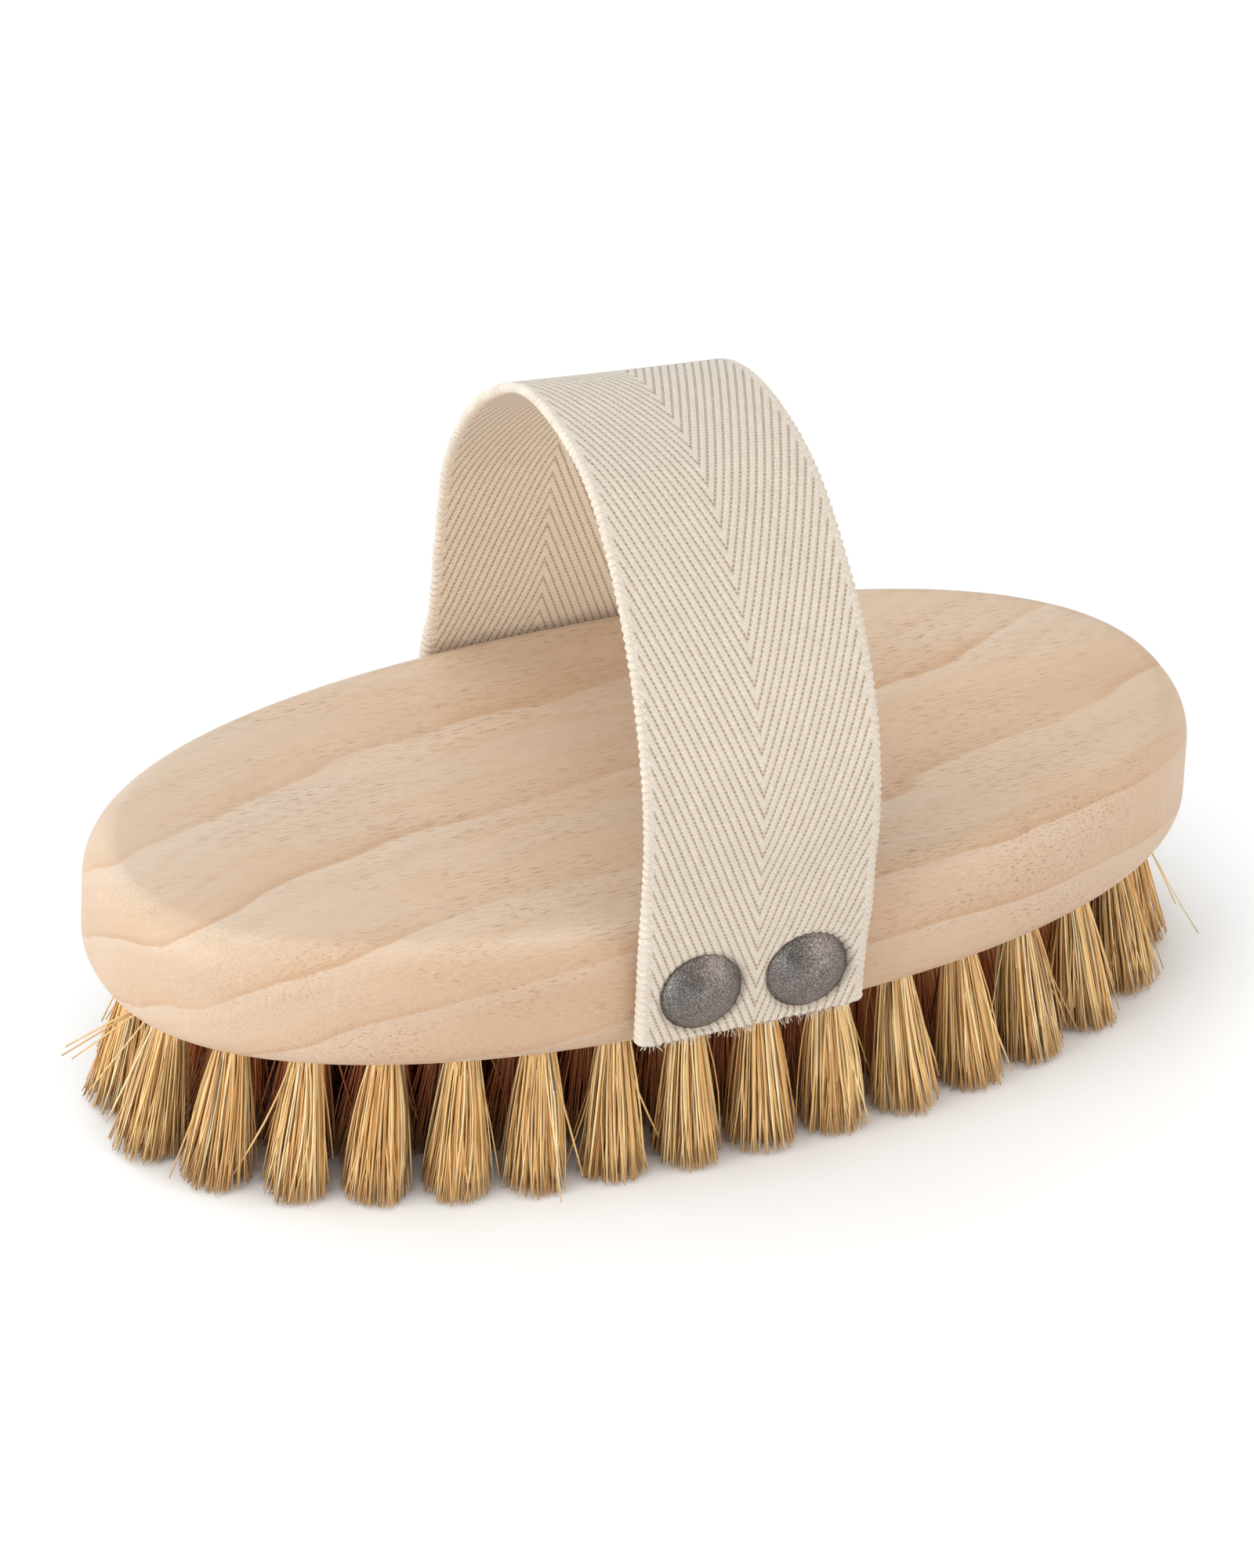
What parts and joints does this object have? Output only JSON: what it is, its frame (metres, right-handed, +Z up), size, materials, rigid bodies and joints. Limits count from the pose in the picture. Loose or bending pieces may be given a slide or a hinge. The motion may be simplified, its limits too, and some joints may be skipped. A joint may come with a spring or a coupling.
{
  "type": "body dry brush",
  "caption": "Oval wooden body dry brush with natural bristle tufts and a webbing hand strap nailed to its sides.",
  "frame": {"origin": "on the plane of the trimmed bristle tips, under the centre of the block", "axes": "+X along the block, +Y across it, +Z up from the bristle tips to the strap; the strap crosses along Y"},
  "size_m": [0.15, 0.0794, 0.095],
  "materials": {
    "beech": "satin",
    "webbing": "matte",
    "nail_head": "satin",
    "nail_steel": "satin",
    "bristle": "satin",
    "anchor_wire": "satin"
  },
  "bodies": {
    "brush": {"handle_block": "beech", "strap_end_front": "webbing", "strap_end_rear": "webbing", "nail_cap_front_left": "nail_head", "nail_pin_front_left": "nail_steel", "nail_cap_front_right": "nail_head", "nail_pin_front_right": "nail_steel", "nail_cap_rear_left": "nail_head", "nail_pin_rear_left": "nail_steel", "nail_cap_rear_right": "nail_head", "nail_pin_rear_right": "nail_steel", "tufts_outer_ring": "bristle", "tufts_middle_ring": "bristle", "tufts_inner_ring": "bristle", "tufts_centre_row": "bristle", "anchors_outer_ring": "anchor_wire", "anchors_middle_ring": "anchor_wire", "anchors_inner_ring": "anchor_wire", "anchors_centre_row": "anchor_wire"},
    "strap": {"strap_loop": "webbing"}
  },
  "joints": [
    {"name": "strap_lean", "type": "hinge", "parent": "brush", "child": "strap", "pos_m": [0, 0, 0.0305], "axis": [0, 1, 0], "range_deg": [-15, 15], "stiffness_Nm_per_rad": 0.05}
  ]
}
